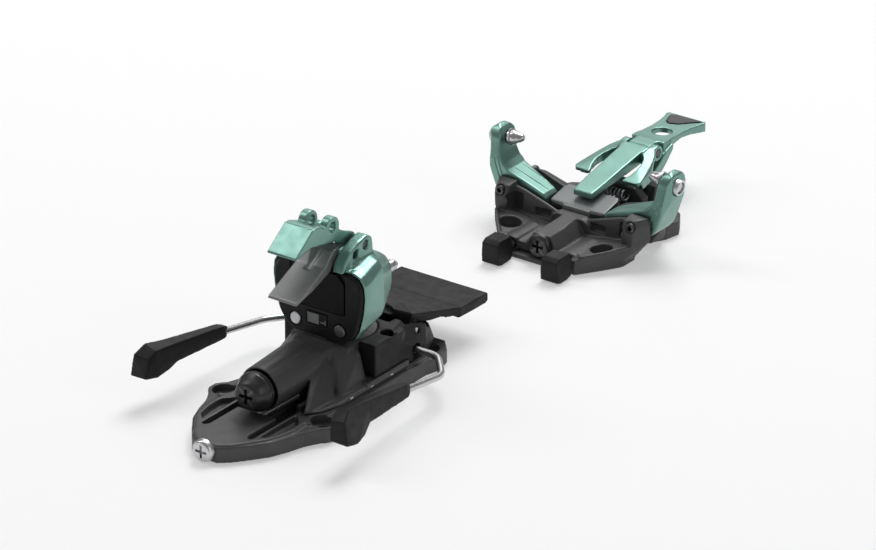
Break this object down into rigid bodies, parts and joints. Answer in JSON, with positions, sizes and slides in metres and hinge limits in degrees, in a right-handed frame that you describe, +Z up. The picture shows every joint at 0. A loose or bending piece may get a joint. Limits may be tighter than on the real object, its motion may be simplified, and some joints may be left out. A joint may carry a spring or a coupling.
{
  "type": "touring ski binding",
  "caption": "Pin touring ski binding: turning heel tower with climbing flaps and brake on a sliding carriage, and a toe unit with hinged pin wings and a lever",
  "frame": {"origin": "On the ski's top surface, under the heel plate, midway between its two rear mounting holes", "axes": "+X to the skier's right, +Y along the ski to its tip, +Z up from the ski"},
  "size_m": [0.1056, 0.3338, 0.0771],
  "materials": {
    "green_alloy": "satin mint green anodised aluminium",
    "black_alloy": "satin black anodised aluminium",
    "grey_alloy": "satin dark grey anodised aluminium",
    "black_plastic": "matte black glass-filled nylon",
    "steel": "bright stainless steel",
    "spring_steel": "oiled spring steel",
    "gloss_inlay": "gloss black label plastic without any print"
  },
  "bodies": {
    "base": {"heel_base_plate": "black_alloy", "toe_base": "black_alloy", "toe_cover": "grey_alloy", "toe_spring_rear": "spring_steel", "toe_spring_front": "spring_steel", "lever_axle": "steel", "wing_pivot_left": "spring_steel", "wing_pivot_right": "spring_steel"},
    "length_screw": {"length_screw": "steel"},
    "carriage": {"heel_carriage": "black_alloy", "length_nut": "steel", "release_spring": "spring_steel", "release_plunger": "steel", "tower_post": "steel", "brake_housing": "black_plastic", "housing_screw_left": "spring_steel", "housing_screw_right": "spring_steel", "brake_pad_pin": "steel", "brake_spring": "spring_steel"},
    "release_cap": {"release_cap": "black_plastic"},
    "tower": {"tower_body": "green_alloy", "tower_rear_cover": "black_plastic", "cover_inlay": "gloss_inlay", "release_scale": "grey_alloy", "cover_disc_left": "steel", "cover_disc_right": "steel", "heel_pin_fork": "steel", "flap_pin": "spring_steel"},
    "upper_flap": {"upper_flap": "green_alloy"},
    "lower_flap": {"lower_flap": "grey_alloy"},
    "brake_arms": {"brake_wire_left": "steel", "brake_wire_right": "steel", "brake_foot_left": "black_plastic", "brake_foot_right": "black_plastic"},
    "brake_pad": {"brake_pad": "black_plastic"},
    "toe_lever": {"toe_lever": "green_alloy", "lever_inlay": "grey_alloy", "fork_pin": "steel"},
    "lever_fork": {"lever_fork": "green_alloy"},
    "wing_left": {"wing_left": "green_alloy", "toe_pin_left": "steel", "pin_nut_left": "steel"},
    "wing_right": {"wing_right": "green_alloy", "toe_pin_right": "steel", "pin_nut_right": "steel"},
    "stop_screw": {"stop_screw": "spring_steel"},
    "boot_stops": {"boot_stop_left": "black_plastic", "boot_stop_right": "black_plastic", "stop_rod_left": "steel", "stop_rod_right": "steel", "stop_yoke": "black_alloy"}
  },
  "joints": [
    {"name": "length_screw_turn", "type": "hinge", "parent": "base", "child": "length_screw", "pos_m": [0, 0, 0.0046], "axis": [0, 1, 0], "range_deg": [-720, 2880]},
    {"name": "carriage_slide", "type": "slide", "parent": "base", "child": "carriage", "axis": [0, 1, 0], "range_m": [-0.02, 0.005]},
    {"name": "release_cap_turn", "type": "hinge", "parent": "carriage", "child": "release_cap", "pos_m": [0, -0.012, 0.0166], "axis": [0, 1, 0], "range_deg": [-1080, 1080]},
    {"name": "tower_turn", "type": "hinge", "parent": "carriage", "child": "tower", "pos_m": [0, 0.044, 0.03], "axis": [0, 0, 1], "continuous": true},
    {"name": "upper_flap_fold", "type": "hinge", "parent": "tower", "child": "upper_flap", "pos_m": [0, 0.0427, 0.0626], "axis": [-1, 0, 0], "range_deg": [0, 155]},
    {"name": "lower_flap_fold", "type": "hinge", "parent": "tower", "child": "lower_flap", "pos_m": [0, 0.0427, 0.0626], "axis": [-1, 0, 0], "range_deg": [0, 155.1]},
    {"name": "brake_arms_swing", "type": "hinge", "parent": "carriage", "child": "brake_arms", "pos_m": [0, 0.064, 0.0116], "axis": [1, 0, 0], "range_deg": [0, 50]},
    {"name": "brake_pad_tilt", "type": "hinge", "parent": "carriage", "child": "brake_pad", "pos_m": [0, 0.068, 0.0175], "axis": [1, 0, 0], "range_deg": [0, 20.1]},
    {"name": "toe_lever_tilt", "type": "hinge", "parent": "base", "child": "toe_lever", "pos_m": [0, 0.246, 0.012], "axis": [1, 0, 0], "range_deg": [0, 45]},
    {"name": "lever_fork_fold", "type": "hinge", "parent": "toe_lever", "child": "lever_fork", "pos_m": [0, 0.2536, 0.0248], "axis": [1, 0, 0], "range_deg": [-45.1, 0]},
    {"name": "wing_left_swing", "type": "hinge", "parent": "base", "child": "wing_left", "pos_m": [-0.0327, 0.212, 0.0176], "axis": [0, 1, 0], "range_deg": [0, 12.1]},
    {"name": "wing_right_swing", "type": "hinge", "parent": "base", "child": "wing_right", "pos_m": [0.0327, 0.212, 0.0176], "axis": [0, -1, 0], "range_deg": [0, 12.1]},
    {"name": "stop_screw_turn", "type": "hinge", "parent": "base", "child": "stop_screw", "pos_m": [0, 0.178, 0.0076], "axis": [0, 1, 0], "range_deg": [-540, 1440]},
    {"name": "boot_stop_slide", "type": "slide", "parent": "base", "child": "boot_stops", "axis": [0, 1, 0], "range_m": [-0.004, 0.0015]}
  ],
  "couplings": [
    {"joint": "length_screw_turn", "follows": "carriage_slide", "rad_per_m": -2513},
    {"joint": "lower_flap_fold", "follows": "upper_flap_fold", "ratio": 1},
    {"joint": "brake_pad_tilt", "follows": "brake_arms_swing", "ratio": 0.4},
    {"joint": "lever_fork_fold", "follows": "toe_lever_tilt", "ratio": -1},
    {"joint": "wing_left_swing", "follows": "toe_lever_tilt", "ratio": 0.26667},
    {"joint": "wing_right_swing", "follows": "toe_lever_tilt", "ratio": 0.26667},
    {"joint": "stop_screw_turn", "follows": "boot_stop_slide", "rad_per_m": -6283}
  ]
}
